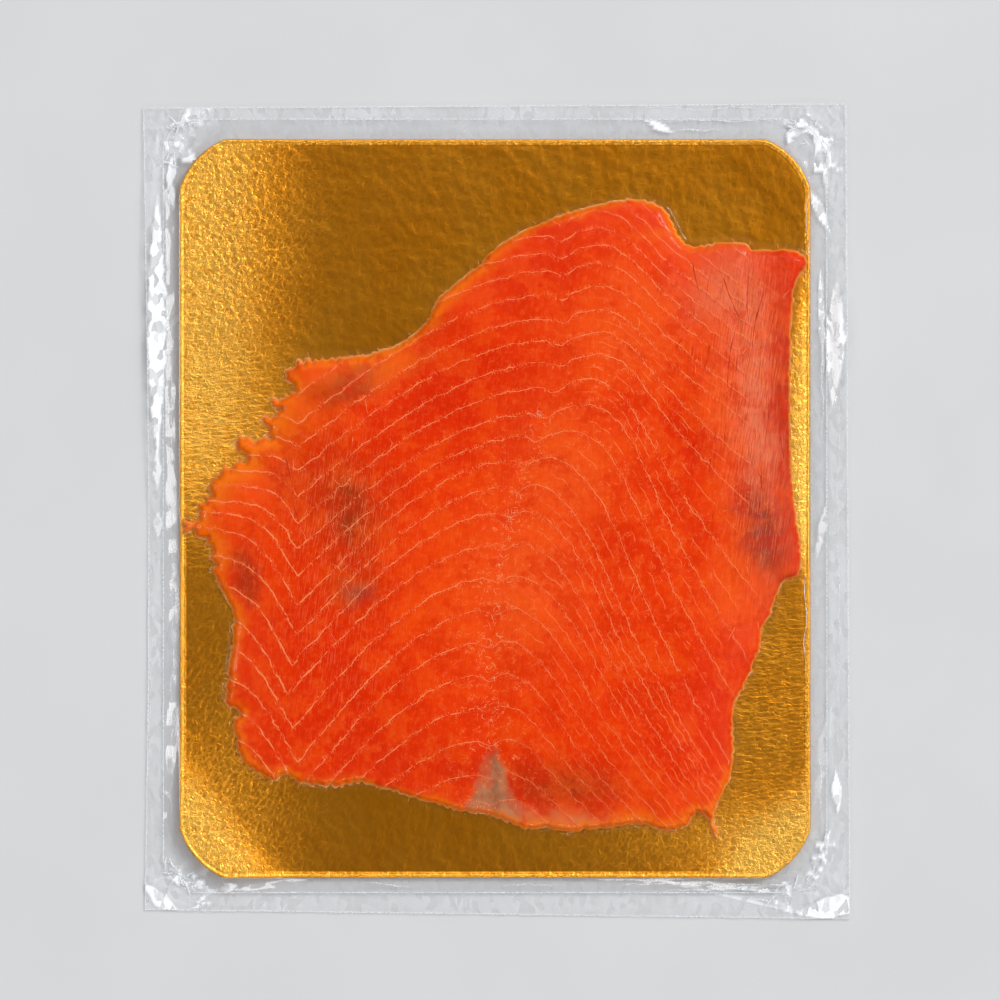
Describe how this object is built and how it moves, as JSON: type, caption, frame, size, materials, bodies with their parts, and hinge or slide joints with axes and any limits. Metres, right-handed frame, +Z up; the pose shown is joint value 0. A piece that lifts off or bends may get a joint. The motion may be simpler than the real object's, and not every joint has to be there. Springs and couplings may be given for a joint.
{
  "type": "smoked salmon pack",
  "caption": "Flat vacuum pack of smoked salmon: a clear sealed film pouch round a gold-faced board that carries a broad, torn-edged cut of orange salmon.",
  "frame": {"origin": "centre of the bounding box at its bottom: under the middle of the pack, on the surface it lies on", "axes": "+Z up through the pack's thickness, the fish side; +Y along the pack's long side, towards the broad end of the fish; +X to the right"},
  "size_m": [0.2244, 0.2588, 0.0085],
  "materials": {
    "clear_film": "clear glossy vacuum film, welded and creased",
    "gold_foil_board": "gold foil over board, finely embossed, satin to bright metal",
    "salmon_flesh": "moist smoked salmon flesh, satin, with pale fat lines"
  },
  "bodies": {
    "root": {"film_pouch": "clear_film", "gold_board": "gold_foil_board", "salmon": "salmon_flesh"}
  },
  "joints": []
}
